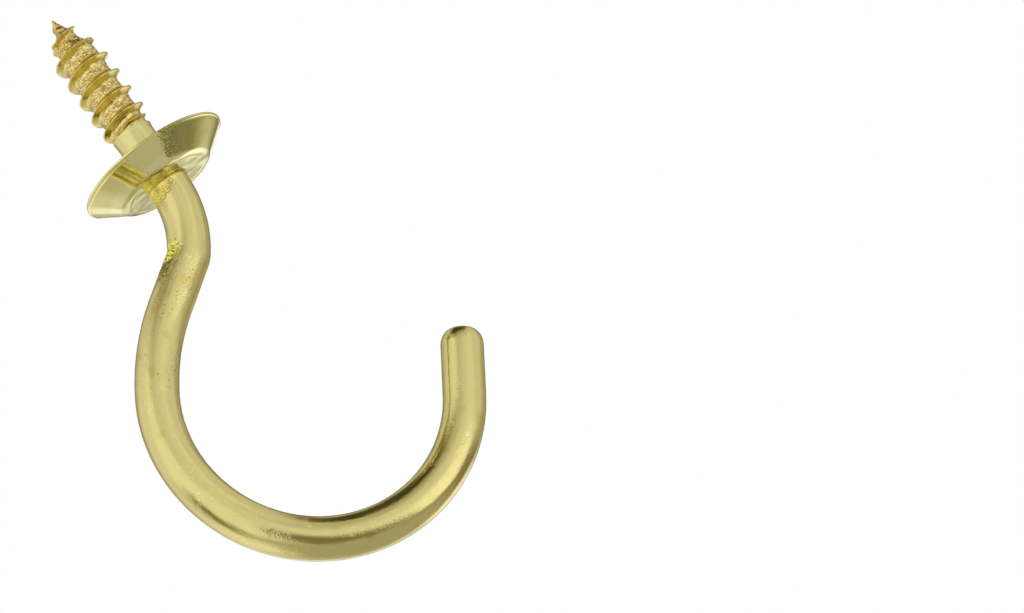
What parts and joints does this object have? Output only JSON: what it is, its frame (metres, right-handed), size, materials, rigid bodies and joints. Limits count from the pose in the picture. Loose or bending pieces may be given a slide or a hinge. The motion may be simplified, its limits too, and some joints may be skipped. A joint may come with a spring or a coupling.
{
  "type": "cup hook",
  "caption": "Shouldered cup hook of bent brass-finished wire, with a gimlet-pointed woodscrew end and a pressed dish flange that seats against the wood.",
  "frame": {"origin": "centre of the flange's seating plane, on the axis of the screw", "axes": "+Z along the screw to its point, into the wood; +X towards the hook's mouth; the hook lies in the XZ plane"},
  "size_m": [0.0257, 0.0118, 0.0474],
  "materials": {
    "wire": "polished, brass plated",
    "flange": "polished, brass plated"
  },
  "bodies": {
    "root": {"hook": "wire", "flange": "flange"}
  },
  "joints": []
}
